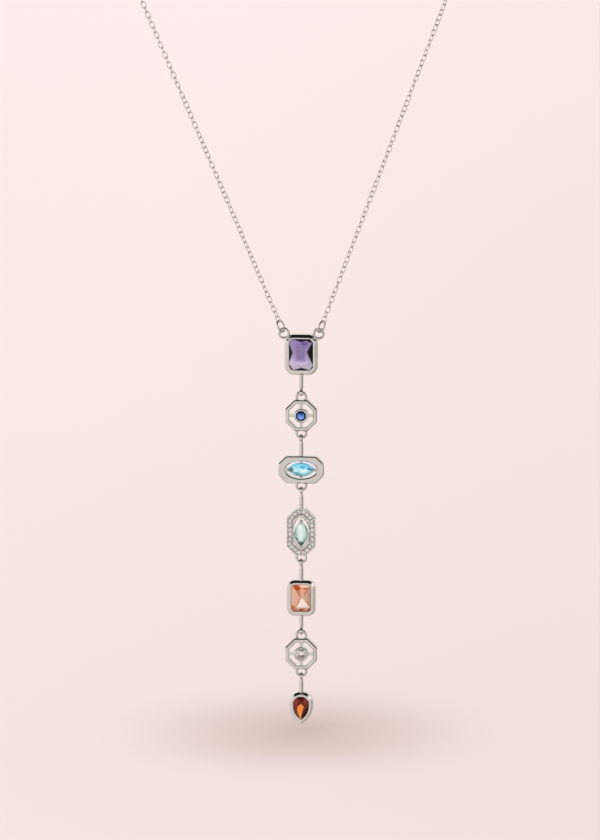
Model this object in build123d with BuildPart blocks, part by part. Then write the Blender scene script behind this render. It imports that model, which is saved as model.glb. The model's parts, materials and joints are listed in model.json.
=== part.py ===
# Y necklace: a fine cable chain with a long drop of seven stone-set stations.
# The front faces -Y and +Z is up.  The origin is at the nape, where the clasp lies.
# The stations hang one below the other in the plane y = FRONT_Y.  Each frame has a
# round ring soldered to its edge, and the eye of the next rod swings on that ring.

import os
from collections import namedtuple
from math import atan, atan2, cos, degrees, hypot, pi, radians, sin, sqrt, tan

from build123d import *

os.makedirs("parts", exist_ok=True)

# Place of the drop, in millimetres: it hangs a little to one side of the nape
DROP_X = 2.2
FRONT_Y = -77.0
TOP_STATION_Z = -127.6

# Rings, eyes and rods that link the stations.  A rod narrows to its eye over its neck.
RING_OUTER = 3.0
RING_WIRE = 0.65
RING_OUT = 0.65
EYE_OUTER = 1.8
EYE_HOLE = 1.0
EYE_THICKNESS = 0.8
EYE_ROUNDING = 0.12
ROD_DIAMETER = 1.08
ROD_NECK = 0.9
ROD_SINK = 0.3
ROD_1 = 4.45
ROD_2 = 4.55
ROD_3 = 4.6
ROD_4 = 4.6
ROD_5 = 3.8
ROD_6 = 4.1

# Stones: width, height and, on the octagons, the leg of the cut corners.  Steps and sides
# are those of the straight edges that a girdle's curves are cut in.
STONE_1 = (6.0, 8.0, 0.8)
ROUND_STONE = 2.55
STONE_3 = (7.0, 3.5)
STONE_4 = (3.5, 6.2)
STONE_5 = (5.0, 7.0, 0.6)
STONE_7 = (4.0, 6.0)
PAVE_STONE = 0.98
PAVE_COUNT = 24
STONE_GAP = 0.06
ARC_STEPS = 6
DOME_STEPS = 8
ROUND_SIDES = 16
PAVE_SIDES = 12

# Bezel settings: wall round the stone, run and rise of its outer slope, depth to each side.
# In the two octagonal ones the stone lies a little above the middle.
Bezel = namedtuple("Bezel", "wall slope rise front back")
BEZEL_1 = Bezel(wall=1.1, slope=0.61, rise=1.1, front=1.4, back=1.5)
BEZEL_5 = Bezel(wall=1.05, slope=0.5, rise=1.0, front=1.3, back=1.3)
BEZEL_7 = Bezel(wall=1.0, slope=0.5, rise=0.9, front=1.2, back=1.1)
BEZEL_ROUNDING = 2.0
STONE_RISE = 0.22
BACK_WINDOW = 0.6
LIP = 0.1

# Open octagons with a cup in the middle
OCTAGON = 7.85
OCTAGON_RAIL = 0.95
OCTAGON_DEPTH = 2.2
CUP_OUTER = 3.5
CUP_FRONT, CUP_BACK = 1.3, 0.9
CUP_HOLE = 1.5
CUP_BREAK = 0.16
SPOKE_WIDTH = 0.85
SPOKE_DEPTH = 1.5
SPOKE_SINK = 0.2

# Flat plates with an opening
PLATE_DEPTH = 2.2
PLATE_3 = (11.35, 6.9, 2.0)
PLATE_3_ROUNDING = 1.3
OPENING_3 = (7.9, 4.4)
PLATE_4 = (7.15, 11.9, 2.35)
PLATE_4_ROUNDING = 0.5
OPENING_4 = (3.85, 8.3)
EDGE_BREAK = 0.25
INNER_BREAK = 0.12

# Row of small stones: its distance from the plate's edge, the channel and the seats
ROW_INSET = 0.83
CHANNEL_RIM = 0.24
CHANNEL_DEPTH = 0.25
SEAT_RADIUS = 0.55
SEAT_HOLE = 0.3
SEAT_ANGLE = 90

# Claws: how far forward and back they reach, and how far forward the girdles lie
CLAW_FRONT, CLAW_BACK = 0.95, 0.7
GIRDLE_3 = 0.45
GIRDLE_4 = 0.5
STONE_4_DROP = 0.45
SIDE_CLAW = 0.3
SIDE_CLAW_X = 1.86
LEVEL_CLAW = 0.32
LEVEL_CLAW_Y = 2.0
TIP_CLAW = (2.95, 4.5, 0.75, 0.95)
TOP_CLAW = 0.46
BOTTOM_CLAW = 0.36
CLAW_BAR = 0.45

# Chain: the tube that holds its place, and the larger links at its foot
CHAIN_DIAMETER = 1.45
LEFT_LEAN = 22.9
RIGHT_LEAN = 20.4
STRAIGHT_RUN = 104.0
NECK = [(49.2, -62.0, -8.0), (51.5, -39.0, -1.0), (43.0, -17.0, 1.0), (23.5, -3.0, 0.5)]
ARC_SHARE = 0.45
END_LINK = (2.15, 2.95)
END_LINK_WIRE = 0.5
END_LINK_TURN = 55.0
END_LINK_HOLD = 0.7
CORNER_RING_OUT = 1.3
TUBE_CLEARANCE = 0.15

# Clasp at the nape
CLASP_RING = (2.3, 0.5)
CLASP_EYE = (0.75, 0.25)
CLASP_EYE_SINK = 0.1
JUMP_RING = (1.2, 0.3)
JUMP_RING_GAP = 0.1

# Worked-out sizes
RING_RADIUS = (RING_OUTER - RING_WIRE) / 2
RING_REACH = RING_OUT + RING_RADIUS
EYE_BAND = (EYE_OUTER + EYE_HOLE) / 4
HALF_HEIGHT_1 = STONE_1[1] / 2 + BEZEL_1.wall
HALF_HEIGHT_5 = STONE_5[1] / 2 + BEZEL_5.wall
HALF_HEIGHT_7 = STONE_7[1] / 2 + BEZEL_7.wall
PLATE_FRONT = PLATE_DEPTH / 2

# Heights of the stations' middles and of the pins of rings that they swing on
z_1 = TOP_STATION_Z
joint_1 = z_1 - HALF_HEIGHT_1 - ROD_1
z_2 = joint_1 - RING_REACH - OCTAGON / 2
joint_2 = z_2 - OCTAGON / 2 - RING_REACH
z_3 = joint_2 - ROD_2 - PLATE_3[1] / 2
joint_3 = z_3 - PLATE_3[1] / 2 - RING_REACH
z_4 = joint_3 - ROD_3 - PLATE_4[1] / 2
joint_4 = z_4 - PLATE_4[1] / 2 - RING_REACH
z_5 = joint_4 - ROD_4 - HALF_HEIGHT_5
joint_5 = z_5 - HALF_HEIGHT_5 - ROD_5
z_6 = joint_5 - RING_REACH - OCTAGON / 2
joint_6 = z_6 - OCTAGON / 2 - RING_REACH
z_7 = joint_6 - ROD_6 - HALF_HEIGHT_7
stone_z_1 = z_1 + STONE_RISE
stone_z_5 = z_5 + STONE_RISE


# Cut stones
# A tier is a set of facets.  Each facet's plane runs from a share of the outline's reach
# at one height to another share at the next.  Heights are shares of the half width.
Tier = namedtuple("Tier", "facets turn share_out rise_out share_in rise_in")

BRILLIANT = [
    Tier(8, 0.0, 1.00, 0.05, 0.56, 0.352),
    Tier(16, 11.25, 1.00, 0.05, 0.80, 0.218),
    Tier(8, 22.5, 0.82, 0.231, 0.52, 0.352),
    Tier(8, 0.0, 1.00, -0.05, 0.00, -0.91),
    Tier(16, 11.25, 1.00, -0.05, 0.20, -0.765),
]
RADIANT = [
    Tier(8, 0.0, 1.00, 0.04, 0.80, 0.21),
    Tier(8, 0.0, 0.84, 0.19, 0.60, 0.34),
    Tier(8, 0.0, 1.00, -0.05, 0.60, -0.44),
    Tier(8, 0.0, 0.85, -0.21, 0.00, -0.86),
    Tier(8, 22.5, 0.97, -0.05, 0.00, -0.88),
]
SMALL_CUT = [
    Tier(8, 0.0, 1.00, 0.05, 0.56, 0.35),
    Tier(8, 22.5, 1.00, -0.05, 0.00, -0.85),
]
TABLE = 0.34


def octagon_outline(width, height, leg):
    """Corners of a rectangle with its corners cut off."""
    x, y = width / 2, height / 2
    quarter = [(x, y - leg), (x - leg, y)]
    left = [(-a, b) for a, b in reversed(quarter)]
    return quarter + left + [(a, -b) for a, b in reversed(quarter + left)]


def inset(size, amount):
    """The octagon that lies inside another by an even amount, or outside it if that is negative."""
    width, height, leg = size
    return width - 2 * amount, height - 2 * amount, leg - amount * (2 - sqrt(2))


def round_outline(diameter, sides):
    """Corners of a many-sided girdle whose flats reach the diameter."""
    reach = diameter / 2 / cos(pi / sides)
    turns = [2 * pi * (k + 0.5) / sides for k in range(sides)]
    return [(reach * cos(a), reach * sin(a)) for a in turns]


def arc_points(tip, side, steps=ARC_STEPS):
    """Points from a tip (tip, 0) to a side point (0, side) on the arc that is level at the side."""
    radius = (tip**2 + side**2) / (2 * side)
    full = atan2(tip, radius - side)
    turns = [full * k / steps for k in range(steps, 0, -1)]
    return [(radius * sin(a), radius * cos(a) - radius + side) for a in turns]


def marquise_outline(width, height):
    """Two arcs that meet in a point at each end of the longer side."""
    long, short = max(width, height) / 2, min(width, height) / 2
    quarter = arc_points(long, short)
    upper = quarter + [(0, short)] + [(-x, y) for x, y in reversed(quarter)]
    points = upper + [(x, -y) for x, y in reversed(upper[1:-1])]
    return points if width > height else [(-y, x) for x, y in points]


def pear_outline(width, height):
    """A half circle above two arcs that meet in a point below."""
    radius = width / 2
    side_y = height / 2 - radius
    turns = [pi * k / DOME_STEPS for k in range(DOME_STEPS + 1)]
    dome = [(radius * cos(a), side_y + radius * sin(a)) for a in turns]
    taper = [(side, side_y - drop) for drop, side in arc_points(height - radius, radius)]
    left = [(-x, y) for x, y in reversed(taper)]
    return dome + left + taper[1:]


def facet_plane(outline, turn, first, second, gap):
    """The plane of one facet, from (share, height) to (share, height) in the direction of turn."""
    reach = max(x * cos(turn) + y * sin(turn) for x, y in outline)
    run = reach * (second[0] - first[0])
    rise = second[1] - first[1]
    out, up = (rise, -run) if rise > 0 else (-rise, run)
    size = hypot(out, up)
    out, up = out / size, up / size
    radius = reach * first[0] + gap * out
    height = first[1] + gap * up
    origin = (radius * cos(turn), radius * sin(turn), height)
    return Plane(origin=origin, z_dir=(out * cos(turn), out * sin(turn), up))


def cut_stone(outline, tiers, gap=0.0):
    """A stone with its girdle at z = 0 and its table up, or with a gap, the room that it needs."""
    reach = max(hypot(x, y) for x, y in outline)
    half_width = min(max(x for x, y in outline), max(y for x, y in outline))
    with BuildPart() as stone:
        with BuildSketch(Plane.XY.offset(-2 * reach)):
            Polygon(*outline, align=None)
            if gap:
                offset(amount=gap, kind=Kind.INTERSECTION)
        extrude(amount=2 * reach + TABLE * half_width + gap)
        for tier in tiers:
            first = (tier.share_out, tier.rise_out * half_width)
            second = (tier.share_in, tier.rise_in * half_width)
            for k in range(tier.facets):
                turn = radians(tier.turn) + 2 * pi * k / tier.facets
                split(bisect_by=facet_plane(outline, turn, first, second, gap), keep=Keep.BOTTOM)
    return stone.part


# Parts that several stations share
def front_plane(z, forward=0.0):
    """A plane at a station's height, facing the viewer, forward of the rings' plane."""
    return Plane(origin=(DROP_X, FRONT_Y - forward, z), x_dir=(1, 0, 0), z_dir=(0, -1, 0))


def link_ring(x, z):
    """A round ring of wire, seen full from the front."""
    with Locations(Location((x, FRONT_Y, z), (90, 0, 0))):
        Torus(RING_RADIUS, RING_WIRE / 2)


with BuildPart() as eye_blank:
    Cylinder(EYE_OUTER / 2, EYE_THICKNESS, rotation=(0, 90, 0))
    fillet(eye_blank.edges().filter_by(GeomType.CIRCLE), EYE_ROUNDING)
    Cylinder(EYE_HOLE / 2, 2 * EYE_THICKNESS, rotation=(0, 90, 0), mode=Mode.SUBTRACT)


def rod_with_eye(joint_z, frame_z):
    """A rod from the edge of a frame to the eye that swings at joint_z, narrow at the eye."""
    side = 1 if frame_z > joint_z else -1
    start = joint_z + side * EYE_BAND
    full = start + side * ROD_NECK
    low_radius, high_radius = [EYE_THICKNESS / 2, ROD_DIAMETER / 2][::side]
    with Locations((DROP_X, FRONT_Y, joint_z)):
        add(eye_blank.part)
    with Locations((DROP_X, FRONT_Y, (start + full) / 2)):
        Cone(low_radius, high_radius, ROD_NECK)
    with Locations((DROP_X, FRONT_Y, (full + frame_z) / 2)):
        Cylinder(ROD_DIAMETER / 2, abs(frame_z - full))


def seat(stone_room, z, girdle_forward):
    """Cuts the room of a stone out of the metal round it."""
    with Locations(front_plane(z, girdle_forward).location):
        add(stone_room, mode=Mode.SUBTRACT)


def draw_octagon(size, mode=Mode.ADD):
    """An octagon of straight edges in the sketch that is open."""
    Polygon(*octagon_outline(*size), align=None, mode=mode)


def draw_rounded_octagon(size):
    """A bezel's octagon with its corners rounded."""
    octagon = Polygon(*octagon_outline(*size), align=None)
    fillet(octagon.vertices(), BEZEL_ROUNDING)


def draw_pear(width, height):
    """The drop-shaped outline in its real arcs."""
    radius = width / 2
    side_y = height / 2 - radius
    foot = (0, -height / 2)
    drop, side = arc_points(height - radius, radius, 2)[1]
    with BuildLine() as outline:
        ThreePointArc((radius, side_y), (0, height / 2), (-radius, side_y))
        ThreePointArc((-radius, side_y), (-side, side_y - drop), foot)
        ThreePointArc(foot, (side, side_y - drop), (radius, side_y))
    make_face(outline.edges())


def draw_marquise(width, height, mode=Mode.ADD):
    """The pointed oval in its real arcs, with its points up and down."""
    with BuildLine() as outline:
        ThreePointArc((0, height / 2), (width / 2, 0), (0, -height / 2))
        ThreePointArc((0, -height / 2), (-width / 2, 0), (0, height / 2))
    make_face(outline.edges(), mode=mode)


def bezel_wall(z, bezel, draw_outer):
    """A solid block with a straight foot and a sloping front, still without its seat."""
    shoulder = bezel.front - bezel.rise
    with BuildSketch(front_plane(z, -bezel.back)) as foot:
        draw_outer()
    extrude(foot.sketch, amount=shoulder + bezel.back)
    with BuildSketch(front_plane(z, shoulder)) as slope:
        draw_outer()
    extrude(slope.sketch, amount=bezel.rise, taper=degrees(atan(bezel.slope / bezel.rise)))


def back_window(z, bezel, outline):
    """The opening behind a stone, smaller than its girdle, so that a ledge stays."""
    with BuildSketch(front_plane(z, -bezel.back)) as window:
        Polygon(*[(BACK_WINDOW * x, BACK_WINDOW * y) for x, y in outline], align=None)
    extrude(window.sketch, amount=bezel.back + bezel.front, mode=Mode.SUBTRACT)


def room(outline, tiers):
    """The room that a stone needs, from its main facets alone."""
    return cut_stone(outline, [tier for tier in tiers if tier.turn == 0], STONE_GAP)


def lapped_girdle(outline, tiers, front):
    """How far forward a girdle lies when the metal's front laps a little over it."""
    half_width = min(max(x for x, y in outline), max(y for x, y in outline))
    return front - LIP - tiers[0].rise_out * half_width


# Outlines of the stones, and how far forward their girdles lie
outline_1 = octagon_outline(*STONE_1)
outline_round = round_outline(ROUND_STONE, ROUND_SIDES)
outline_3 = marquise_outline(*STONE_3)
outline_4 = marquise_outline(*STONE_4)
outline_5 = octagon_outline(*STONE_5)
outline_7 = pear_outline(*STONE_7)
girdle_1 = lapped_girdle(outline_1, RADIANT, BEZEL_1.front)
girdle_round = lapped_girdle(outline_round, BRILLIANT, CUP_FRONT)
girdle_5 = lapped_girdle(outline_5, RADIANT, BEZEL_5.front)
girdle_7 = lapped_girdle(outline_7, BRILLIANT, BEZEL_7.front)


# Station 1: octagonal bezel, a ring on each upper corner, and the first rod
bezel_size_1 = inset(STONE_1, -BEZEL_1.wall)
corner_out = CORNER_RING_OUT / sqrt(2) - bezel_size_1[2] / 2
corner_x = bezel_size_1[0] / 2 + corner_out
corner_z = z_1 + HALF_HEIGHT_1 + corner_out

with BuildPart() as setting_1:
    bezel_wall(z_1, BEZEL_1, lambda: draw_rounded_octagon(bezel_size_1))
    back_window(stone_z_1, BEZEL_1, outline_1)
    for side in (-1, 1):
        link_ring(DROP_X + side * corner_x, corner_z)
    rod_with_eye(joint_1, z_1 - HALF_HEIGHT_1 + ROD_SINK)
    seat(room(outline_1, RADIANT), stone_z_1, girdle_1)

setting_1.part.label = "setting_1"
export_step(setting_1.part, "parts/setting_1.step")


# Stations 2 and 6: open octagon with four spokes, a cup, and a ring above and below
octagon_size = (OCTAGON, OCTAGON, OCTAGON / (2 + sqrt(2)))
octagon_inner = inset(octagon_size, OCTAGON_RAIL)
spoke_length = (octagon_inner[0] - CUP_OUTER) / 2 + 2 * SPOKE_SINK
spoke_middle = (octagon_inner[0] + CUP_OUTER) / 4
round_room = room(outline_round, BRILLIANT)

for number, z in [(2, z_2), (6, z_6)]:
    with BuildPart() as open_setting:
        with BuildSketch(front_plane(z, -OCTAGON_DEPTH / 2)):
            draw_octagon(octagon_size)
            draw_octagon(octagon_inner, mode=Mode.SUBTRACT)
        extrude(amount=OCTAGON_DEPTH)
        chamfer(open_setting.faces().sort_by(Axis.Y)[0].outer_wire().edges(), EDGE_BREAK)
        chamfer(open_setting.faces().sort_by(Axis.Y)[0].inner_wires()[0].edges(), INNER_BREAK)
        with BuildSketch(front_plane(z, -SPOKE_DEPTH / 2)):
            with PolarLocations(spoke_middle, 4):
                Rectangle(spoke_length, SPOKE_WIDTH)
        extrude(amount=SPOKE_DEPTH)
        with BuildSketch(front_plane(z, -CUP_BACK)):
            Circle(CUP_OUTER / 2)
        extrude(amount=CUP_BACK + CUP_FRONT)
        chamfer(open_setting.faces().sort_by(Axis.Y)[0].edges(), CUP_BREAK)
        with BuildSketch(front_plane(z, -CUP_BACK)):
            Circle(CUP_HOLE / 2)
        extrude(amount=CUP_BACK + CUP_FRONT, mode=Mode.SUBTRACT)
        for side in (-1, 1):
            link_ring(DROP_X, z + side * (OCTAGON / 2 + RING_OUT))
        seat(round_room, z, girdle_round)
    open_setting.part.label = f"setting_{number}"
    export_step(open_setting.part, f"parts/setting_{number}.step")


# Station 3: flat plate with an oval opening, and the stone held by claws inside it
with BuildPart() as setting_3:
    with BuildSketch(front_plane(z_3, -PLATE_DEPTH / 2)) as plate:
        draw_octagon(PLATE_3)
        fillet(plate.vertices(), PLATE_3_ROUNDING)
        Ellipse(OPENING_3[0] / 2, OPENING_3[1] / 2, mode=Mode.SUBTRACT)
    extrude(amount=PLATE_DEPTH)
    chamfer(setting_3.faces().sort_by(Axis.Y)[0].edges(), EDGE_BREAK)
    with BuildSketch(front_plane(z_3, -CLAW_BACK)):
        for side in (-1, 1):
            with Locations((0, side * LEVEL_CLAW_Y)):
                Circle(LEVEL_CLAW)
            tip, root = side * TIP_CLAW[0], side * TIP_CLAW[1]
            narrow, wide = TIP_CLAW[2] / 2, TIP_CLAW[3] / 2
            Polygon((tip, narrow), (root, wide), (root, -wide), (tip, -narrow), align=None)
    extrude(amount=CLAW_BACK + CLAW_FRONT)
    link_ring(DROP_X, z_3 - PLATE_3[1] / 2 - RING_OUT)
    rod_with_eye(joint_2, z_3 + PLATE_3[1] / 2 - ROD_SINK)
    seat(room(outline_3, BRILLIANT), z_3, GIRDLE_3)

setting_3.part.label = "setting_3"
export_step(setting_3.part, "parts/setting_3.step")


# Station 4: plate with a pointed opening, a row of small stones sunk in a channel round it
row_width, row_height, row_leg = inset(PLATE_4, ROW_INSET)
with BuildLine() as right_row:
    Polyline(
        (0, row_height / 2),
        (row_width / 2 - row_leg, row_height / 2),
        (row_width / 2, row_height / 2 - row_leg),
        (row_width / 2, row_leg - row_height / 2),
        (row_width / 2 - row_leg, -row_height / 2),
        (0, -row_height / 2),
    )
half_count = PAVE_COUNT // 2
right_seats = [right_row.line @ ((k + 0.5) / half_count) for k in range(half_count)]
seats = [(side * place.X, place.Y) for side in (-1, 1) for place in right_seats]
channel_floor = PLATE_FRONT - CHANNEL_DEPTH

with BuildPart() as setting_4:
    with BuildSketch(front_plane(z_4, -PLATE_DEPTH / 2)) as plate:
        draw_octagon(PLATE_4)
        fillet(plate.vertices(), PLATE_4_ROUNDING)
        draw_marquise(*OPENING_4, mode=Mode.SUBTRACT)
    extrude(amount=PLATE_DEPTH)
    rim_width, rim_height = OPENING_4[0] + 2 * CHANNEL_RIM, OPENING_4[1] + 3 * CHANNEL_RIM
    with BuildSketch(front_plane(z_4, channel_floor)):
        draw_octagon(inset(PLATE_4, CHANNEL_RIM))
        draw_marquise(rim_width, rim_height, mode=Mode.SUBTRACT)
    extrude(amount=CHANNEL_DEPTH, mode=Mode.SUBTRACT)
    with Locations(front_plane(z_4, channel_floor)):
        with Locations(*seats):
            CounterSinkHole(SEAT_HOLE, SEAT_RADIUS, PLATE_DEPTH, counter_sink_angle=SEAT_ANGLE)
    with BuildSketch(front_plane(z_4 - STONE_4_DROP, -CLAW_BACK)):
        for side in (-1, 1):
            with Locations((side * SIDE_CLAW_X, 0)):
                Circle(SIDE_CLAW)
        for radius, end, bar_end in [
            (TOP_CLAW, STONE_4[1] / 2, OPENING_4[1] / 2 + STONE_4_DROP),
            (BOTTOM_CLAW, -STONE_4[1] / 2, STONE_4_DROP - OPENING_4[1] / 2),
        ]:
            with Locations((0, end)):
                Circle(radius)
            with Locations((0, (end + bar_end) / 2)):
                Rectangle(CLAW_BAR, abs(bar_end - end))
    extrude(amount=CLAW_BACK + CLAW_FRONT)
    link_ring(DROP_X, z_4 - PLATE_4[1] / 2 - RING_OUT)
    rod_with_eye(joint_3, z_4 + PLATE_4[1] / 2 - ROD_SINK)
    seat(room(outline_4, BRILLIANT), z_4 - STONE_4_DROP, GIRDLE_4)

setting_4.part.label = "setting_4"
export_step(setting_4.part, "parts/setting_4.step")


# Station 5: octagonal bezel with a rod above and a rod below
bezel_size_5 = inset(STONE_5, -BEZEL_5.wall)

with BuildPart() as setting_5:
    bezel_wall(z_5, BEZEL_5, lambda: draw_rounded_octagon(bezel_size_5))
    back_window(stone_z_5, BEZEL_5, outline_5)
    rod_with_eye(joint_4, z_5 + HALF_HEIGHT_5 - ROD_SINK)
    rod_with_eye(joint_5, z_5 - HALF_HEIGHT_5 + ROD_SINK)
    seat(room(outline_5, RADIANT), stone_z_5, girdle_5)

setting_5.part.label = "setting_5"
export_step(setting_5.part, "parts/setting_5.step")


# Station 7: drop-shaped bezel at the foot
def draw_bezel_7():
    """The pear's outline with the wall round it."""
    draw_pear(*STONE_7)
    offset(amount=BEZEL_7.wall, kind=Kind.INTERSECTION)


with BuildPart() as setting_7:
    bezel_wall(z_7, BEZEL_7, draw_bezel_7)
    back_window(z_7, BEZEL_7, outline_7)
    rod_with_eye(joint_6, z_7 + HALF_HEIGHT_7 - ROD_SINK)
    seat(room(outline_7, BRILLIANT), z_7, girdle_7)

setting_7.part.label = "setting_7"
export_step(setting_7.part, "parts/setting_7.step")


# The seven stones, table to the front
Stone = namedtuple("Stone", "number outline tiers z girdle")
for row in [
    Stone(1, outline_1, RADIANT, stone_z_1, girdle_1),
    Stone(2, outline_round, BRILLIANT, z_2, girdle_round),
    Stone(3, outline_3, BRILLIANT, z_3, GIRDLE_3),
    Stone(4, outline_4, BRILLIANT, z_4 - STONE_4_DROP, GIRDLE_4),
    Stone(5, outline_5, RADIANT, stone_z_5, girdle_5),
    Stone(6, outline_round, BRILLIANT, z_6, girdle_round),
    Stone(7, outline_7, BRILLIANT, z_7, girdle_7),
]:
    with BuildPart() as stone:
        with Locations(front_plane(row.z, row.girdle).location):
            add(cut_stone(row.outline, row.tiers))
    stone.part.label = f"stone_{row.number}"
    export_step(stone.part, f"parts/stone_{row.number}.step")


# The row of small stones round station 4, all in one node
small_stone = cut_stone(round_outline(PAVE_STONE, PAVE_SIDES), SMALL_CUT)
with BuildPart() as pave_stones:
    with Locations(front_plane(z_4, channel_floor + STONE_GAP)):
        with Locations(*seats):
            add(small_stone)

pave_stones.part.label = "pave_stones"
export_step(pave_stones.part, "parts/pave_stones.step")


# Clasp: a plain ring with a small eye, and a jump ring that hangs in it, at the nape
clasp_eye_x = -(CLASP_RING[0] + CLASP_RING[1] + CLASP_EYE[0] - CLASP_EYE[1] - CLASP_EYE_SINK)
with BuildPart() as clasp:
    with Locations(Location((0, 0, 0), (90, 0, 0))):
        Torus(*CLASP_RING)
    with Locations(Location((clasp_eye_x, 0, 0), (90, 0, 0))):
        Torus(*CLASP_EYE)

clasp.part.label = "clasp"
export_step(clasp.part, "parts/clasp.step")

jump_ring_x = CLASP_RING[0] - CLASP_RING[1] - JUMP_RING[1] - JUMP_RING_GAP + JUMP_RING[0]
with BuildPart() as clasp_ring:
    with Locations((jump_ring_x, 0, 0)):
        Torus(*JUMP_RING)

clasp_ring.part.label = "clasp_ring"
export_step(clasp_ring.part, "parts/clasp_ring.step")


# End links and chains, one of each on either side
Side = namedtuple("Side", "name side lean tube_end")
left_end = clasp_eye_x - sum(CLASP_EYE) - TUBE_CLEARANCE
right_end = jump_ring_x + sum(JUMP_RING) + TUBE_CLEARANCE

for row in [
    Side("left", -1, LEFT_LEAN, left_end),
    Side("right", 1, RIGHT_LEAN, right_end),
]:
    lean = radians(row.lean)
    along = Vector(row.side * sin(lean), 0, cos(lean))
    across = Vector(cos(lean), 0, -row.side * sin(lean))
    corner = Vector(DROP_X + row.side * corner_x, FRONT_Y, corner_z)

    # The end link hangs in the corner ring and is turned out of the rings' plane
    turn = radians(END_LINK_TURN)
    wide = across * cos(turn) + Vector(0, sin(turn), 0)
    link_foot = RING_RADIUS - END_LINK_HOLD
    middle = corner + along * (link_foot + END_LINK[1] / 2)
    bend = END_LINK[0] / 2
    straight = (END_LINK[1] - END_LINK[0]) / 2
    with BuildPart() as end_link:
        with BuildLine(Plane(origin=middle, x_dir=wide, z_dir=wide.cross(along))) as oval:
            Line((bend, -straight), (bend, straight))
            ThreePointArc((bend, straight), (0, straight + bend), (-bend, straight))
            Line((-bend, straight), (-bend, -straight))
            ThreePointArc((-bend, -straight), (0, -straight - bend), (bend, -straight))
        with BuildSketch(Plane(origin=oval.line @ 0, z_dir=oval.line % 0)):
            Circle(END_LINK_WIRE / 2)
        sweep()
    end_link.part.label = f"end_link_{row.name}"
    export_step(end_link.part, f"parts/end_link_{row.name}.step")

    # The chain's tube runs straight up from the end link, then round the neck to the clasp
    foot = corner + along * (link_foot + END_LINK[1] + END_LINK_WIRE / 2 + TUBE_CLEARANCE)
    points = [foot, foot + along * STRAIGHT_RUN]
    points += [Vector(row.side * x, y, z) for x, y, z in NECK]
    points.append(Vector(row.tube_end, 0, 0))
    runs = [b - a for a, b in zip(points, points[1:])]
    radii = []
    for first, second in zip(runs, runs[1:]):
        half_turn = radians(first.get_angle(second)) / 2
        radii.append(ARC_SHARE * min(first.length, second.length) / tan(half_turn))
    with BuildPart() as chain:
        with BuildLine() as route:
            FilletPolyline(*points, radius=radii)
        with BuildSketch(Plane(origin=route.line @ 0, z_dir=route.line % 0)):
            Circle(CHAIN_DIAMETER / 2)
        sweep()
    chain.part.label = f"chain_{row.name}"
    export_step(chain.part, f"parts/chain_{row.name}.step")
    length = sum(edge.length for edge in route.edges())
    section = pi * CHAIN_DIAMETER**2 / 4
    print(f"chain_{row.name}: length {length:.1f}, radii {[round(r, 1) for r in radii]},")
    print(f"    volume {chain.part.volume:.1f} against {section * length:.1f}")

print("joints at", [round(z, 3) for z in (joint_1, joint_2, joint_3, joint_4, joint_5, joint_6)])
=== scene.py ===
# %% [markdown]
# # A Y necklace with seven stones
# This lesson dresses a necklace that was built as exact solids. Those solids come in first
# and never move: they say where every ring, rod and stone is, in metres. Blender then adds
# what the eye looks for at this scale, which is the linked chain, the beads between the
# small stones, the rounded claws, polished metal, and light inside the stones, most of it painted
# light and shade.

# %% Load the imported necklace
import json
from math import atan2, ceil, cos, degrees, pi, radians, sin

import bmesh
import bpy
from mathutils import Matrix, Vector


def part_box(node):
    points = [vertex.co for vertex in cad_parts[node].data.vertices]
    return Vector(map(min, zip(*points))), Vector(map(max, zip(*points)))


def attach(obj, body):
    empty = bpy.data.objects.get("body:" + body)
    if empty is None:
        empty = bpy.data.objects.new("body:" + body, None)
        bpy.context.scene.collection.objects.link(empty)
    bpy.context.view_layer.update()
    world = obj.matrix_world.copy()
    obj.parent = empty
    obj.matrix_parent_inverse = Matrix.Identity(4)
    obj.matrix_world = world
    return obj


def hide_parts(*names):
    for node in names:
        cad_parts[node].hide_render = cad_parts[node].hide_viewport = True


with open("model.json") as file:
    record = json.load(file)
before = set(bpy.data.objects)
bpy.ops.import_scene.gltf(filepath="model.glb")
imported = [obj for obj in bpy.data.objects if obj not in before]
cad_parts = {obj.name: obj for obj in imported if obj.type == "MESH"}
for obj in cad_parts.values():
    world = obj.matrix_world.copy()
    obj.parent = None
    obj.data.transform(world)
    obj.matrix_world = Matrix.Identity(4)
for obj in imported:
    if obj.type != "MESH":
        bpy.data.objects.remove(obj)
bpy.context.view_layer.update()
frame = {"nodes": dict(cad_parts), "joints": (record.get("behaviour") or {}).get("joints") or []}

MM = 0.001
nodes = frame["nodes"]

# %% [markdown]
# ## Where things hang
# The stations swing on six pins, so the pins say where the drop is: one line, all at the
# same x and y. The ring on each upper corner of the top setting holds an end link, and the
# chain starts in that link. We read these places from the solids where we can.

# %% Read the drop's line
PINS = [Vector(joint["pos_m"]) for joint in frame["joints"]]
DROP_X, FRONT_Y = PINS[0].x, PINS[0].y
FLOOR_GAP = 2.3 * MM
FLOOR_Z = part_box("setting_7")[0].z - FLOOR_GAP


def middle(node):
    """The middle of a solid's box."""
    low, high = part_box(node)
    return (low + high) / 2


for name in ("stone_1", "stone_4", "stone_7"):
    print(name, [round(value / MM, 2) for value in middle(name)])

# %% [markdown]
# ## Nodes without the mouse
# Materials and geometry node trees are both graphs. One small helper adds a node, sets its
# values and joins its inputs, so each graph below reads like a recipe.


# %% A helper for node graphs
def put(tree, kind, values=None, **settings):
    """Adds a node. values maps an input's name or number to a value or to another's output."""
    node = tree.nodes.new(kind)
    for key, value in settings.items():
        setattr(node, key, value)
    for key, value in (values or {}).items():
        socket = node.inputs[key]
        if isinstance(value, bpy.types.NodeSocket):
            tree.links.new(value, socket)
        else:
            socket.default_value = value
    return node


def new_material(name):
    """A material with an empty graph, and the node that ends it."""
    material = bpy.data.materials.new(name)
    material.use_nodes = True
    material.node_tree.nodes.clear()
    return material, material.node_tree, put(material.node_tree, "ShaderNodeOutputMaterial")


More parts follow.
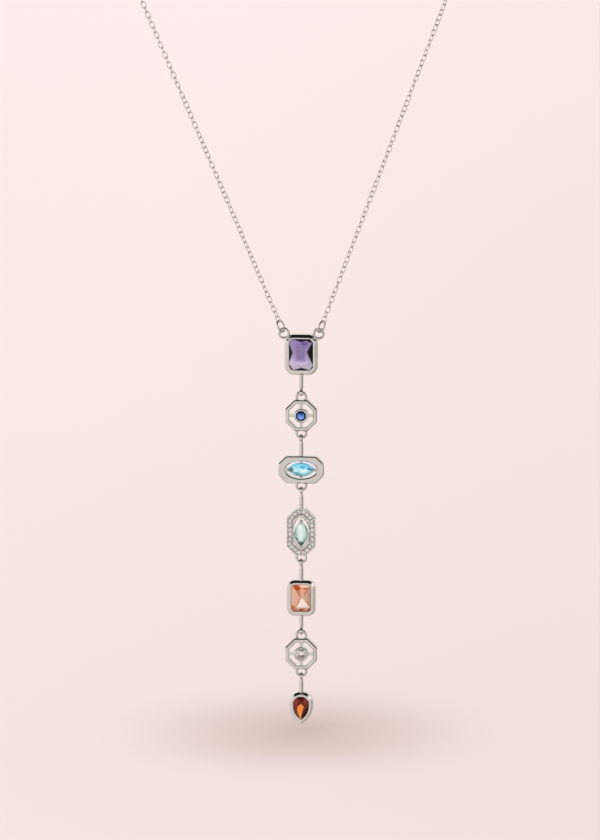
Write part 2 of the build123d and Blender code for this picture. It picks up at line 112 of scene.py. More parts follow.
def maths(tree, operation, a, b=None):
    """A value from a maths node."""
    values = {0: a} if b is None else {0: a, 1: b}
    return put(tree, "ShaderNodeMath", values, operation=operation).outputs[0]


def ramp(tree, factor, stops):
    """A colour ramp through stops of (place, colour)."""
    node = put(tree, "ShaderNodeValToRGB", {"Fac": factor})
    band = node.color_ramp
    while len(band.elements) < len(stops):
        band.elements.new(0.5)
    for element, (place, colour) in zip(band.elements, stops):
        element.position = place
        element.color = (*colour, 1.0)
    return node.outputs["Color"]


def remap(tree, value, low, high, to_low=0.0, to_high=1.0, how="LINEAR"):
    """A value moved from the range low to high into another range, and kept inside it."""
    return put(tree, "ShaderNodeMapRange", {
        "Value": value, "From Min": low, "From Max": high, "To Min": to_low, "To Max": to_high},
        interpolation_type=how).outputs["Result"]


def blend(tree, factor, under, over, how="MIX"):
    """Two colours mixed by a factor. A Mix node takes colours at 6 and 7 and gives one at 2."""
    return put(tree, "ShaderNodeMix", {"Factor": factor, 6: under, 7: over},
               data_type="RGBA", blend_type=how).outputs[2]


# %% [markdown]
# ## Polished white metal
# The real metal is silver with a thin, hard white plating. It mirrors the room, so its
# looks come from what is round it: pale floor, dark ceiling. Two things keep it from being
# a perfect mirror. Polishing leaves faint waves, and every edge is a little rounded, which
# catches a bright line. The Bevel node rounds edges in the shading alone, so the exact
# solids keep their shape.


# %% The metal
# A noise has most of its values between 0.3 and 0.7, so that is the range that is spread.
CLOUD_SCALE, GRAIN_SCALE = 420.0, 2600.0
WAVE_DEPTH = 0.006 * MM
EDGE, CHAIN_EDGE = 0.05 * MM, 0.02 * MM


def polished_metal(name, light, dark, rough_low, rough_high, edge=EDGE):
    """Metal with faint clouds and waves, whose edges look rounded by a small radius."""
    material, tree, out = new_material(name)
    place = put(tree, "ShaderNodeTexCoord").outputs["Object"]
    cloud = put(tree, "ShaderNodeTexNoise", {
        "Vector": place, "Scale": CLOUD_SCALE, "Detail": 3.0}).outputs["Fac"]
    grain = put(tree, "ShaderNodeTexNoise", {
        "Vector": place, "Scale": GRAIN_SCALE, "Detail": 2.0}).outputs["Fac"]
    colour = ramp(tree, cloud, [(0.35, dark), (0.65, light)])
    rough = remap(tree, grain, 0.3, 0.7, rough_low, rough_high)
    rounded = put(tree, "ShaderNodeBevel", {"Radius": edge}, samples=6).outputs["Normal"]
    waves = put(tree, "ShaderNodeBump", {
        "Height": grain, "Strength": 0.12, "Distance": WAVE_DEPTH, "Normal": rounded})
    shader = put(tree, "ShaderNodeBsdfPrincipled", {
        "Base Color": colour, "Roughness": rough, "Normal": waves.outputs["Normal"]})
    shader.inputs["Metallic"].default_value = 1.0
    tree.links.new(shader.outputs["BSDF"], out.inputs["Surface"])
    return material


METAL = polished_metal("white_metal", (0.80, 0.79, 0.775), (0.72, 0.71, 0.695), 0.05, 0.13)
CHAIN_METAL = polished_metal("chain_metal", (0.97, 0.96, 0.94), (0.90, 0.88, 0.86), 0.10, 0.18,
                             edge=CHAIN_EDGE)
print("metals:", METAL.name, CHAIN_METAL.name)

# %% [markdown]
# ## Cut stones
# A cut stone shows more than its own facets. Through its top we see the facets at the back,
# some lit and some dark, as sharp patches of light and shade that fit together. Glass alone
# would leave that pattern to chance, so we paint that light and shade into the stone's colour.
# Every patch is a few corners in a square that spans the stone, from (-1, -1) at the lower
# left to (1, 1) at the upper right. A patch is the place where a point is inside all of its
# edges. The rest is real: a little light still goes through, and the real facets catch the room.


# %% Patches of painted light and shade
SHARP, OUTLINE_BLUR = 0.04, 0.03  # how far an edge is blurred, where half the stone is 1


def stone_square(tree, name):
    """Where a point lies in the square that spans a stone, as (u, 0, v)."""
    low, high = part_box(name)
    half = (high - low) / 2
    place = put(tree, "ShaderNodeTexCoord").outputs["Object"]
    centred = put(tree, "ShaderNodeVectorMath", {0: place, 1: (low + high) / 2},
                  operation="SUBTRACT").outputs["Vector"]
    return put(tree, "ShaderNodeVectorMath", {0: centred, 1: (1 / half.x, 0.0, 1 / half.z)},
               operation="MULTIPLY").outputs["Vector"]


def patch_mask(tree, square, corners, soft):
    """1 inside the convex patch with these corners, and 0 outside it."""
    points = [Vector(corner) for corner in corners]
    area = sum(p.cross(q) for p, q in zip(points, points[1:] + points[:1]))
    if area < 0:
        points.reverse()
    inside = None
    for p, q in zip(points, points[1:] + points[:1]):
        inward = Vector((p.y - q.y, q.x - p.x)).normalized()
        along = put(tree, "ShaderNodeVectorMath", {0: square, 1: (inward.x, 0.0, inward.y)},
                    operation="DOT_PRODUCT").outputs["Value"]
        depth = maths(tree, "SUBTRACT", along, inward.dot(p))
        inside = depth if inside is None else maths(tree, "MINIMUM", inside, depth)
    return remap(tree, inside, -soft, soft, how="SMOOTHSTEP")


def cut_square(edge, leg_u, leg_v):
    """The corners of a square whose own corners are cut off."""
    quarter = [(edge, edge - leg_v), (edge - leg_u, edge)]
    left = [(-u, v) for u, v in reversed(quarter)]
    return quarter + left + [(u, -v) for u, v in reversed(quarter + left)]


def screen(red, green, blue):
    """A colour as a screen gives it, 0 to 255, in the linear light that shaders use."""
    return tuple(((value / 255 + 0.055) / 1.055) ** 2.4 for value in (red, green, blue))


# %% Painted light and shade on the real facets
PAINTED_LIGHT_FROM, PAINTED_LIGHT_REACH = (-0.45, 0.0, 0.75), 0.6
PAINTED_FACET_SHADE, PAINTED_FACET_LIGHT = 0.75, 1.25


def painted_facet_light(tree, colour):
    """Painted light: facets facing up and left are made lighter, and those facing down darker."""
    facing = put(tree, "ShaderNodeVectorMath", {
        0: put(tree, "ShaderNodeTexCoord").outputs["Normal"], 1: PAINTED_LIGHT_FROM},
        operation="DOT_PRODUCT").outputs["Value"]
    strength = remap(tree, facing, -PAINTED_LIGHT_REACH, PAINTED_LIGHT_REACH, PAINTED_FACET_SHADE, PAINTED_FACET_LIGHT)
    return put(tree, "ShaderNodeVectorMath", {0: colour, "Scale": strength},
               operation="SCALE").outputs["Vector"]


# %% A whole stone
STONE_ROUGHNESS, STONE_IOR = 0.03, 1.38
# Painted shade: the near black band left at a stone's edge, where it meets its seat.
PAINTED_EDGE_SHADE = (0.01, 0.008, 0.01, 1.0)


def cut_stone(name, node, rise, patches, outline=None, clear=0.2):
    """A stone whose colour runs up through rise, with patches of painted light and shade over it.

    A patch is a tone, its corners and, if its edges are blurred, how much. Outside the outline,
    if there is one, the edge is painted dark as shade. clear is the share of light let through.
    """
    material, tree, out = new_material(name)
    square = stone_square(tree, node)
    height = put(tree, "ShaderNodeSeparateXYZ", {"Vector": square}).outputs["Z"]
    steps = [(k / (len(rise) - 1), screen(*tone)) for k, tone in enumerate(rise)]
    colour = ramp(tree, remap(tree, height, -1.0, 1.0), steps)
    for tone, corners, *blur in patches:
        mask = patch_mask(tree, square, corners, blur[0] if blur else SHARP)
        colour = blend(tree, mask, colour, (*screen(*tone), 1.0))
    # Painted shade: the stone's edge outside the outline is darkened.
    if outline:
        mask = patch_mask(tree, square, outline, OUTLINE_BLUR)
        colour = blend(tree, mask, PAINTED_EDGE_SHADE, colour)
    # The colour gets painted light and shade by the way each real facet faces.
    shader = put(tree, "ShaderNodeBsdfPrincipled", {"Base Color": painted_facet_light(tree, colour)})
    shader.inputs["Transmission Weight"].default_value = clear
    shader.inputs["Roughness"].default_value = STONE_ROUGHNESS
    shader.inputs["IOR"].default_value = STONE_IOR
    tree.links.new(shader.outputs["BSDF"], out.inputs["Surface"])
    print(name, "patches:", len(patches))
    return material


# %% The purple stone: a pale waist of painted light between sides of painted shade
# Bright patches below are painted light and dark ones painted shade, over each stone's own colour.
PURPLE = cut_stone("purple", "stone_1", [
    (232, 226, 244), (200, 188, 222), (162, 148, 192), (148, 134, 178), (144, 130, 174)], [
    ((136, 120, 168), [(-0.4, 0.85), (0.35, 0.85), (0.35, -0.35), (-0.4, -0.35)], 0.16),
    ((96, 78, 128), [(0.0, 0.8), (0.6, 0.8), (0.5, 0.6), (0.1, 0.66)], 0.1),
    ((16, 8, 20), [(-1.0, 0.74), (-0.65, 0.17), (-0.9, -0.36), (-1.0, -0.40)]),
    ((12, 5, 16), [(1.0, 0.82), (0.9, 0.74), (0.51, 0.22), (0.93, -0.56), (1.0, -0.62)]),
    ((22, 12, 28), [(-0.62, 1.0), (-0.5, 0.93), (0.0, 0.83), (0.55, 0.9), (0.6, 1.0)]),
    ((16, 9, 22), [(0.45, 1.0), (0.62, 0.82), (1.0, 0.76), (1.0, 1.0)]),
    ((18, 12, 26), [(-0.62, -1.0), (-0.5, -0.93), (0.05, -0.79), (0.6, -0.93), (0.72, -1.0)]),
    ((16, 9, 22), [(-1.0, -0.66), (-0.90, -0.66), (-0.66, -0.90), (-0.75, -1.0)]),
    ((16, 9, 22), [(1.0, -0.64), (0.76, -0.90), (0.84, -1.0), (1.0, -0.9)])],
    outline=cut_square(0.965, 0.26, 0.19))

# %% The blue stone: a middle of painted light in a rim of painted shade
BLUE = cut_stone("royal_blue", "stone_2", [(12, 22, 60), (10, 14, 44), (10, 12, 38)], [
    ((84, 132, 212), cut_square(0.64, 0.36, 0.36), 0.08),
    ((122, 176, 252), [(-0.5, -0.1), (0.5, -0.1), (0.48, -0.42), (0.2, -0.66), (-0.2, -0.66),
                       (-0.48, -0.42)], 0.12),
    ((26, 40, 112), [(-0.4, 0.66), (0.45, 0.66), (0.03, 0.16)], 0.08)])

# %% The aqua stone
AQUA = cut_stone("aqua_blue", "stone_3", [
    (150, 224, 232), (172, 236, 244), (196, 250, 255), (134, 220, 240), (84, 186, 226)], [
    ((72, 132, 148), [(-1.0, 0.1), (-0.62, 0.42), (-0.55, 0.0), (-0.62, -0.35), (-0.9, -0.2)]),
    ((84, 176, 220), [(-0.1, 0.55), (0.35, 0.5), (0.2, 0.18), (0.0, 0.3)]),
    ((62, 142, 194), [(0.45, 0.42), (0.95, 0.1), (0.8, -0.14), (0.42, 0.1)]),
    ((112, 178, 190), [(-0.5, -0.42), (0.05, -0.52), (0.05, -0.72), (-0.3, -0.7)]),
    ((96, 160, 172), [(-0.62, -0.22), (-0.1, -0.48), (-0.2, -0.56), (-0.6, -0.36)]),
    ((60, 124, 142), [(-0.66, 0.16), (-0.42, 0.1), (-0.5, -0.08), (-0.7, -0.02)]),
    ((240, 252, 253), [(-0.56, 0.06), (-0.3, 0.1), (-0.34, -0.04), (-0.52, -0.1)]),
    ((238, 252, 253), [(-0.1, -0.12), (0.36, 0.02), (0.42, -0.2), (0.0, -0.34)]),
    ((84, 150, 166), [(-0.32, -0.3), (-0.06, -0.26), (-0.1, -0.34), (-0.3, -0.38)]),
    ((150, 226, 244), [(-0.3, 0.75), (0.1, 0.8), (0.0, 0.58), (-0.25, 0.55)])])

# %% The mint stone
MINT = cut_stone("mint_green", "stone_4", [
    (90, 128, 116), (176, 216, 206), (208, 236, 228), (212, 236, 228), (178, 206, 194)], [
    ((230, 246, 241), [(-0.35, 0.72), (0.2, 0.72), (0.24, -0.55), (-0.3, -0.55)]),
    ((168, 206, 194), [(-1.0, 0.6), (-0.5, 0.5), (-0.62, -0.3), (-1.0, -0.3)]),
    ((118, 160, 146), [(0.45, 0.75), (0.85, 0.1), (0.95, 0.4), (0.6, 0.9)]),
    ((124, 164, 152), [(-0.85, -0.3), (-0.5, -0.24), (-0.36, -0.62), (-0.6, -0.7)]),
    ((82, 118, 106), [(-0.5, -0.66), (0.45, -0.68), (0.1, -1.0), (-0.3, -1.0)]),
    ((226, 240, 232), [(-0.55, -0.6), (-0.36, -0.62), (-0.4, -0.72), (-0.52, -0.72)]),
    ((244, 250, 246), [(-0.88, -0.33), (-0.42, -0.74), (-0.33, -0.9), (-1.0, -1.0)]),
    ((244, 250, 246), [(0.88, -0.33), (0.42, -0.74), (0.33, -0.9), (1.0, -1.0)])])

# %% The peach stone: four sides that meet in the middle
PEACH = cut_stone("peach", "stone_5", [
    (190, 122, 90), (224, 172, 146), (226, 180, 158), (224, 176, 152), (224, 164, 130)], [
    ((214, 174, 146), [(0.3, 0.62), (1.0, 0.7), (1.0, -0.7), (0.25, 0.0)]),
    ((224, 166, 136), [(-0.85, 0.95), (0.85, 0.95), (0.12, 0.04)]),
    ((244, 204, 180), [(-0.1, 0.95), (0.72, 0.95), (0.8, 0.8), (0.1, 0.82)]),
    ((182, 112, 78), [(0.2, 0.78), (0.86, 0.8), (0.8, 0.68), (0.28, 0.64)]),
    ((188, 106, 70), [(-0.45, 0.6), (-0.2, 0.55), (0.0, 0.1), (-0.08, 0.1)]),
    ((238, 180, 154), [(0.08, 0.6), (0.3, 0.62), (0.2, 0.15), (0.1, 0.2)]),
    ((184, 104, 68), [(0.6, 0.72), (0.72, 0.7), (0.36, 0.2), (0.3, 0.24)]),
    ((168, 78, 36), [(-0.85, 0.95), (-0.3, 0.95), (0.04, 0.72), (-0.3, 0.56), (-0.6, 0.66)]),
    ((188, 116, 82), [(-0.1, 0.04), (-0.02, 0.1), (-0.34, -0.5), (-0.42, -0.46)]),
    ((252, 236, 226), [(0.13, 0.06), (-0.5, -0.7), (0.92, -0.7)]),
    ((202, 132, 96), [(0.6, -0.14), (0.74, -0.16), (0.86, -0.46), (0.74, -0.44)]),
    ((206, 136, 100), [(-1.0, -0.72), (1.0, -0.72), (1.0, -1.0), (-1.0, -1.0)]),
    ((158, 92, 62), [(-0.1, -0.74), (0.3, -0.74), (0.1, -0.9), (-0.16, -0.88)]),
    ((240, 196, 168), [(0.4, -0.76), (0.66, -0.76), (0.6, -0.88), (0.44, -0.88)]),
    ((160, 90, 58), [(0.7, -0.78), (1.0, -0.74), (0.96, -0.92), (0.74, -0.94)]),
    ((194, 120, 82), [(-0.95, -0.45), (-0.7, -0.5), (-0.6, -0.75), (-0.95, -0.75)]),
    ((250, 226, 204), [(-0.4, -0.72), (-0.18, -0.72), (-0.2, -0.82), (-0.36, -0.82)])],
    outline=cut_square(0.97, 0.24, 0.16))

# %% The clear stone
CLEAR = cut_stone("clear", "stone_6", [
    (196, 192, 189), (188, 184, 181), (206, 203, 200), (206, 203, 200), (184, 180, 176)], [
    ((116, 108, 106), [(-0.55, 0.02), (-0.1, -0.26), (0.0, -0.52), (-0.48, -0.3)]),
    ((108, 101, 99), [(-0.1, -0.28), (0.62, -0.02), (0.52, -0.36), (0.1, -0.56)]),
    ((150, 144, 142), [(-0.75, -0.6), (-0.4, -0.55), (-0.45, -0.78), (-0.65, -0.75)]),
    ((252, 252, 250), [(-0.9, 0.0), (-0.66, 0.04), (-0.66, -0.22), (-0.85, -0.24)]),
    ((254, 253, 251), [(-0.2, 0.4), (0.35, 0.3), (0.2, 0.0), (-0.15, 0.0)], 0.1),
    ((44, 40, 38), [(-0.55, 0.82), (-0.1, 0.68), (-0.12, 0.95), (-0.4, 1.0)]),
    ((40, 36, 34), [(0.05, 0.72), (0.55, 0.74), (0.4, 0.95), (0.0, 1.0)]),
    ((88, 82, 80), [(-0.3, -0.2), (-0.05, -0.24), (-0.12, -0.42)]),
    ((82, 76, 74), [(0.2, -0.2), (0.5, -0.12), (0.3, -0.36)]),
    ((250, 250, 248), [(0.3, 0.35), (0.62, 0.25), (0.5, 0.05), (0.3, 0.1)])])

# %% The orange drop: a flame of painted light in a dark red body
ORANGE = cut_stone("garnet_orange", "stone_7", [
    (184, 112, 56), (100, 38, 20), (108, 40, 24), (108, 34, 24), (80, 24, 17)], [
    ((132, 54, 43), [(-0.85, 0.75), (-0.4, 0.8), (-0.35, 0.5), (-0.8, 0.35)]),
    ((128, 52, 44), [(0.4, 0.85), (0.85, 0.7), (0.85, 0.35), (0.35, 0.5)]),
    ((128, 25, 14), [(-0.9, 0.42), (-0.5, 0.36), (-0.5, 0.0), (-0.85, 0.1)]),
    ((52, 12, 9), [(-0.35, 1.0), (0.35, 1.0), (0.02, 0.66)]),
    ((66, 23, 17), [(0.1, -0.4), (0.46, -0.02), (0.95, 0.1), (0.6, -0.55), (0.1, -1.0)]),
    ((124, 56, 27), [(-0.8, 0.0), (-0.48, -0.1), (-0.1, -0.9), (-0.6, -0.5)]),
    ((250, 144, 58), [(0.0, 0.40), (-0.43, 0.18), (-0.46, -0.18), (-0.1, -0.9), (0.1, -0.45),
                      (0.41, -0.07), (0.28, 0.28)]),
    ((252, 184, 104), [(-0.16, -0.4), (0.02, -0.4), (0.02, -0.95), (-0.1, -0.95)])], clear=0.15)

# %% [markdown]
# ## The row of small stones
# The small stones and the plate that holds them are cut too fine to be seen facet by facet.
# What the eye gets is a sparkle of light and dark specks. Modelled facets would only turn to
# noise at this size, so a pattern of cells paints every speck a tone of its own, as painted
# glints and painted shade. It serves twice, as glass on the stones and as metal on their plate.


# %% Painted sparkle
SPECK_SCALE = 4200.0
SPARKLE_ROUGHNESS = 0.12


def painted_sparkle(name, low, high, metallic, clear):
    """Painted sparkle: specks of painted glint and shade between a low and a high tone."""
    material, tree, out = new_material(name)
    place = put(tree, "ShaderNodeTexCoord").outputs["Object"]
    specks = put(tree, "ShaderNodeTexVoronoi", {
        "Vector": place, "Scale": SPECK_SCALE}).outputs["Color"]
    light = put(tree, "ShaderNodeSeparateColor", {"Color": specks}).outputs["Red"]
    colour = ramp(tree, light, [(0.12, low), (0.55, high)])
    shader = put(tree, "ShaderNodeBsdfPrincipled", {"Base Color": colour})
    shader.inputs["Metallic"].default_value = metallic
    shader.inputs["Transmission Weight"].default_value = clear
    shader.inputs["Roughness"].default_value = SPARKLE_ROUGHNESS
    tree.links.new(shader.outputs["BSDF"], out.inputs["Surface"])
    return material


# Painted glints and painted shade: light and dark specks on the small stones and on their plate.
SMALL_CLEAR = painted_sparkle("clear_small", (0.36, 0.355, 0.35), (0.84, 0.835, 0.825), 0.0, 0.2)
PAINTED_SPARKLE_METAL = painted_sparkle("painted_sparkle_metal", (0.52, 0.515, 0.50), (0.92, 0.915, 0.89), 1.0, 0.0)
print("sparkle:", SMALL_CLEAR.name, PAINTED_SPARKLE_METAL.name)

# %% Dress the solids
FINISHES = {"stone_1": PURPLE, "stone_2": BLUE, "stone_3": AQUA, "stone_4": MINT,
            "stone_5": PEACH, "stone_6": CLEAR, "stone_7": ORANGE,
            "pave_stones": SMALL_CLEAR, "setting_4": PAINTED_SPARKLE_METAL}
for name, node in nodes.items():
    node.data.materials.clear()
    node.data.materials.append(FINISHES.get(name, METAL))
print("dressed solids:", len(nodes))

# %% [markdown]
# ## The cable chain
# Each side of the neck is one run of oval links, every link turned a quarter against the
# last. A link of this chain is under 2 mm long. A tube stands for it in the solids; here
# Geometry Nodes put a real link at even steps along the same route. The route is a smooth
# spline. It starts inside the end link and ends inside the clasp, so that the first and
# the last link hook round the wire that holds them.

# %% The route and the sizes of a link
# Places and sizes follow the solids. LEAN is in degrees, and NECK in millimetres.
CORNER_RING = Vector((4.297, 0.0, -122.303)) * MM
LEAN = {"left": 22.9, "right": 20.4}
LINK_LENGTH, LINK_WIDTH, LINK_WIRE = 1.88 * MM, 1.42 * MM, 0.26 * MM
HALF_LINK = (LINK_LENGTH - LINK_WIRE) / 2
HOOK_GAP = 0.02 * MM
END_LINK_TOP = 3.425 * MM
END_LINK_WIRE = 0.5 * MM
STRAIGHT_RUN = 104.0 * MM
TUBE_FOOT = 3.825 * MM
NECK = [(49.2, -62.0, -8.0), (51.5, -39.0, -1.0), (43.0, -17.0, 1.0), (23.5, -3.0, 0.5)]
EYE_HOOK_X = -3.7 * MM
JUMP_RING_HOOK_X = 3.5 * MM
ROUTE_STEPS = 48


def route_points(name):
    """The control points of one side's spline, from the end link to the clasp."""
    side = -1 if name == "left" else 1
    lean = radians(LEAN[name])
    along = Vector((side * sin(lean), 0, cos(lean)))
    corner = Vector((DROP_X + side * CORNER_RING.x, FRONT_Y, CORNER_RING.z))
    hook = END_LINK_TOP - END_LINK_WIRE / 2 - LINK_WIRE / 2 - HOOK_GAP
    first = corner + along * (hook + HALF_LINK)
    shoulder = corner + along * (TUBE_FOOT + STRAIGHT_RUN)
    neck = [Vector((side * x, y, z)) * MM for x, y, z in NECK]
    below = shoulder - along * (neck[0] - shoulder).length
    held_x = EYE_HOOK_X if side < 0 else JUMP_RING_HOOK_X
    last = Vector((held_x + side * (HALF_LINK - LINK_WIRE / 2 - HOOK_GAP), 0, 0))
    return [first, below, shoulder, *neck, last]


def route_curve(name):
    """The spline of one side as a curve object."""
    data = bpy.data.curves.new(f"route_{name}", "CURVE")
    data.dimensions = "3D"
    data.twist_mode = "Z_UP"
    data.resolution_u = ROUTE_STEPS
    points = route_points(name)
    spline = data.splines.new("NURBS")
    spline.points.add(len(points) - 1)
    for point, place in zip(spline.points, points):
        point.co = (*place, 1.0)
    spline.order_u = 3
    spline.use_endpoint_u = True
    curve = bpy.data.objects.new(f"route_{name}", data)
    bpy.context.scene.collection.objects.link(curve)
    return curve


def curve_length(curve):
    """The length of a curve with no thickness."""
    line = bpy.data.meshes.new_from_object(curve)
    length = sum((line.vertices[a].co - line.vertices[b].co).length
                 for a, b in (edge.vertices for edge in line.edges))
    bpy.data.meshes.remove(line)
    return length


routes = {name: route_curve(name) for name in LEAN}
lengths = {name: curve_length(curve) for name, curve in routes.items()}
print("route lengths in mm:", {name: round(length / MM, 1) for name, length in lengths.items()})

# %% [markdown]
# ## A tree of geometry nodes for the links
# The tree spaces points along the route, turns each one a quarter more than the last, adds
# a slow twist that comes late and a slight wobble, and puts a link on every point. The link
# itself is made in the tree too: a circle pulled apart into an oval, with a round wire swept
# along it. The two ends have to meet the wires they hook on at a right angle, so the twist
# from end to end is an input.


# %% One link
LINK_POINTS, WIRE_POINTS = 12, 6


def link_shape(tree, given):
    """An oval of round wire that stands up along Z, from the sizes that the tree is given."""
    bend = maths(tree, "MULTIPLY", maths(tree, "SUBTRACT", given["Link Width"], given["Wire"]), 0.5)
    pull = maths(tree, "MULTIPLY",
                 maths(tree, "SUBTRACT", given["Link Length"], given["Link Width"]), 0.5)
    circle = put(tree, "GeometryNodeCurvePrimitiveCircle", {
        "Resolution": LINK_POINTS, "Radius": bend})
    tilted = put(tree, "GeometryNodeTransform", {
        "Geometry": circle.outputs["Curve"], "Rotation": (0.0, 0.0, pi / LINK_POINTS)})
    at = put(tree, "ShaderNodeSeparateXYZ", {
        "Vector": put(tree, "GeometryNodeInputPosition").outputs["Position"]}).outputs
    stretched = maths(tree, "ADD", at["Y"],
                      maths(tree, "MULTIPLY", maths(tree, "SIGN", at["Y"]), pull))
    oval = put(tree, "GeometryNodeSetPosition", {
        "Geometry": tilted.outputs["Geometry"],
        "Position": put(tree, "ShaderNodeCombineXYZ",
                        {"Y": at["X"], "Z": stretched}).outputs["Vector"]})
    wire = put(tree, "GeometryNodeCurvePrimitiveCircle", {
        "Resolution": WIRE_POINTS, "Radius": maths(tree, "MULTIPLY", given["Wire"], 0.5)})
    link = put(tree, "GeometryNodeCurveToMesh", {
        "Curve": oval.outputs["Geometry"], "Profile Curve": wire.outputs["Curve"]})
    return link.outputs["Mesh"]


# %% The turn of each link
def link_turns(tree, given, steps):
    """Rotations along the route: quarter turns, with a twist that grows and a wobble."""
    index = put(tree, "GeometryNodeInputIndex").outputs["Index"]
    share = maths(tree, "DIVIDE", index, maths(tree, "SUBTRACT", given["Links"], 1.0))
    wobble = put(tree, "FunctionNodeRandomValue", {
        "Min": maths(tree, "MULTIPLY", given["Wobble"], -1.0), "Max": given["Wobble"],
        "Seed": given["Seed"]}, data_type="FLOAT")
    loose = next(o for o in wobble.outputs if o.enabled)
    turn = maths(tree, "ADD", given["First Turn"], maths(tree, "MULTIPLY", index, pi / 2))
    late = maths(tree, "MULTIPLY", share, share)
    turn = maths(tree, "ADD", turn, maths(tree, "MULTIPLY", given["Twist"], late))
    turn = maths(tree, "ADD", turn, loose)
    base = put(tree, "FunctionNodeAxesToRotation", {
        "Primary Axis": steps["Tangent"], "Secondary Axis": steps["Normal"]},
        primary_axis="Z", secondary_axis="X")
    spin = put(tree, "FunctionNodeAxisAngleToRotation", {
        "Axis": (0.0, 0.0, 1.0), "Angle": turn})
    turned = put(tree, "FunctionNodeRotateRotation", {
        "Rotation": base.outputs["Rotation"], "Rotate By": spin.outputs["Rotation"]},
        rotation_space="LOCAL")
    return turned.outputs["Rotation"]


# %% The chain's tree
WOBBLE, SEED = 0.3, 3


def add_input(tree, name, kind, value=None):
    """Adds a named input to a geometry node tree."""
    socket = tree.interface.new_socket(name, in_out="INPUT", socket_type=kind)
    if value is not None:
        socket.default_value = value


def end_tree(tree, instances, metal, name):
    """Makes instances real, smooth and dressed, and gives them out by name."""
    whole = put(tree, "GeometryNodeRealizeInstances", {"Geometry": instances})
    smooth = put(tree, "GeometryNodeSetShadeSmooth", {"Geometry": whole.outputs["Geometry"]})
    dressed = put(tree, "GeometryNodeSetMaterial", {
        "Geometry": smooth.outputs["Geometry"], "Material": metal})
    put(tree, "NodeGroupOutput", {name: dressed.outputs["Geometry"]})


def chain_tree():
    """Geometry nodes that lay links at even steps along a route."""
    tree = bpy.data.node_groups.new("cable_chain", "GeometryNodeTree")
    add_input(tree, "Route", "NodeSocketGeometry")
    add_input(tree, "Links", "NodeSocketInt", 100)
    add_input(tree, "Link Length", "NodeSocketFloat", LINK_LENGTH)
    add_input(tree, "Link Width", "NodeSocketFloat", LINK_WIDTH)
    add_input(tree, "Wire", "NodeSocketFloat", LINK_WIRE)
    add_input(tree, "First Turn", "NodeSocketFloat", 0.0)
    add_input(tree, "Twist", "NodeSocketFloat", 0.0)
    add_input(tree, "Wobble", "NodeSocketFloat", WOBBLE)
    add_input(tree, "Seed", "NodeSocketInt", SEED)
    add_input(tree, "Metal", "NodeSocketMaterial")
    tree.interface.new_socket("Chain", in_out="OUTPUT", socket_type="NodeSocketGeometry")
    given = put(tree, "NodeGroupInput").outputs
    link = link_shape(tree, given)
    steps = put(tree, "GeometryNodeCurveToPoints",
                {"Curve": given["Route"], "Count": given["Links"]}, mode="COUNT").outputs
    placed = put(tree, "GeometryNodeInstanceOnPoints", {
        "Points": steps["Points"], "Instance": link, "Rotation": link_turns(tree, given, steps)})
    end_tree(tree, placed.outputs["Instances"], given["Metal"], "Chain")
    return tree


# %% Run a tree
def grow(source, tree, values, name):
    """Runs a tree on an object and keeps the result as a plain mesh of its own."""
    modifier = source.modifiers.new(tree.name, "NODES")
    modifier.node_group = tree
    for item in tree.interface.items_tree:
        if item.item_type == "SOCKET" and item.in_out == "INPUT" and item.name in values:
            modifier[item.identifier] = values[item.name]
    source.update_tag()
    graph = bpy.context.evaluated_depsgraph_get()
    mesh = bpy.data.meshes.new_from_object(source.evaluated_get(graph))
    source.modifiers.remove(modifier)
    bpy.data.objects.remove(source)
    mesh.name = name
    piece = bpy.data.objects.new(name, mesh)
    bpy.context.scene.collection.objects.link(piece)
    return piece


# %% Lay the links
# At the longest pitch, each link just reaches the next. The first link starts at the turn
# that suits its end link, and the last has to lie across the wire that holds it. A half turn
# more or less doesn't change that, and spreads the twist as it hangs on each side.
CHAIN_TREE = chain_tree()
LONGEST_PITCH = LINK_LENGTH - 2 * LINK_WIRE
FIRST_TURN = radians(-35.0)
HELD_TURN = {"left": pi / 2, "right": 0.0}
HALF_TURNS = {"left": -1, "right": 0}

for name, curve in routes.items():
    steps = ceil(lengths[name] / LONGEST_PITCH)
    twist = (HELD_TURN[name] - FIRST_TURN - steps * pi / 2) % pi
    if twist > pi / 2:
        twist -= pi
    twist += HALF_TURNS[name] * pi
    chain = grow(curve, CHAIN_TREE, {
        "Links": steps + 1, "Link Length": LINK_LENGTH, "Link Width": LINK_WIDTH,
        "Wire": LINK_WIRE, "First Turn": FIRST_TURN, "Twist": twist, "Wobble": WOBBLE,
        "Seed": SEED, "Metal": CHAIN_METAL}, f"links_{name}")
    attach(chain, "necklace")
    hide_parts(f"chain_{name}")
    print(chain.name, "links:", steps + 1, "faces:", len(chain.data.polygons),
          "pitch mm:", round(lengths[name] / steps / MM, 4), "twist:", round(degrees(twist)))

# %% [markdown]
# ## Beads round the small stones
# The small clear stones are held by beads that are raised from the metal between them, and
# finer beads line both edges of the band. One tree lays them all: it spaces points along a
# path, pushes each to one side or to both, and sets a ball there. We run it on two paths,
# the middle of the row and the edge of the pointed opening.

# %% The band's paths
ROW_WIDTH, ROW_HEIGHT, ROW_LEG = 5.49 * MM, 10.24 * MM, 1.864 * MM
ROW_STONES = 24
PLATE_Z = middle("stone_4").z + 0.45 * MM
RIM_WIDTH, RIM_HEIGHT = 2.05 * MM, 4.36 * MM
CHANNEL_Y = FRONT_Y - 0.85 * MM
RIM_Y = FRONT_Y - 1.1 * MM
ROW_BEAD, ROW_OFFSET = 0.17 * MM, 0.42 * MM
FINE_BEAD, EDGE_OFFSET = 0.11 * MM, 0.70 * MM
EDGE_BEADS, RIM_BEADS = 84, 60


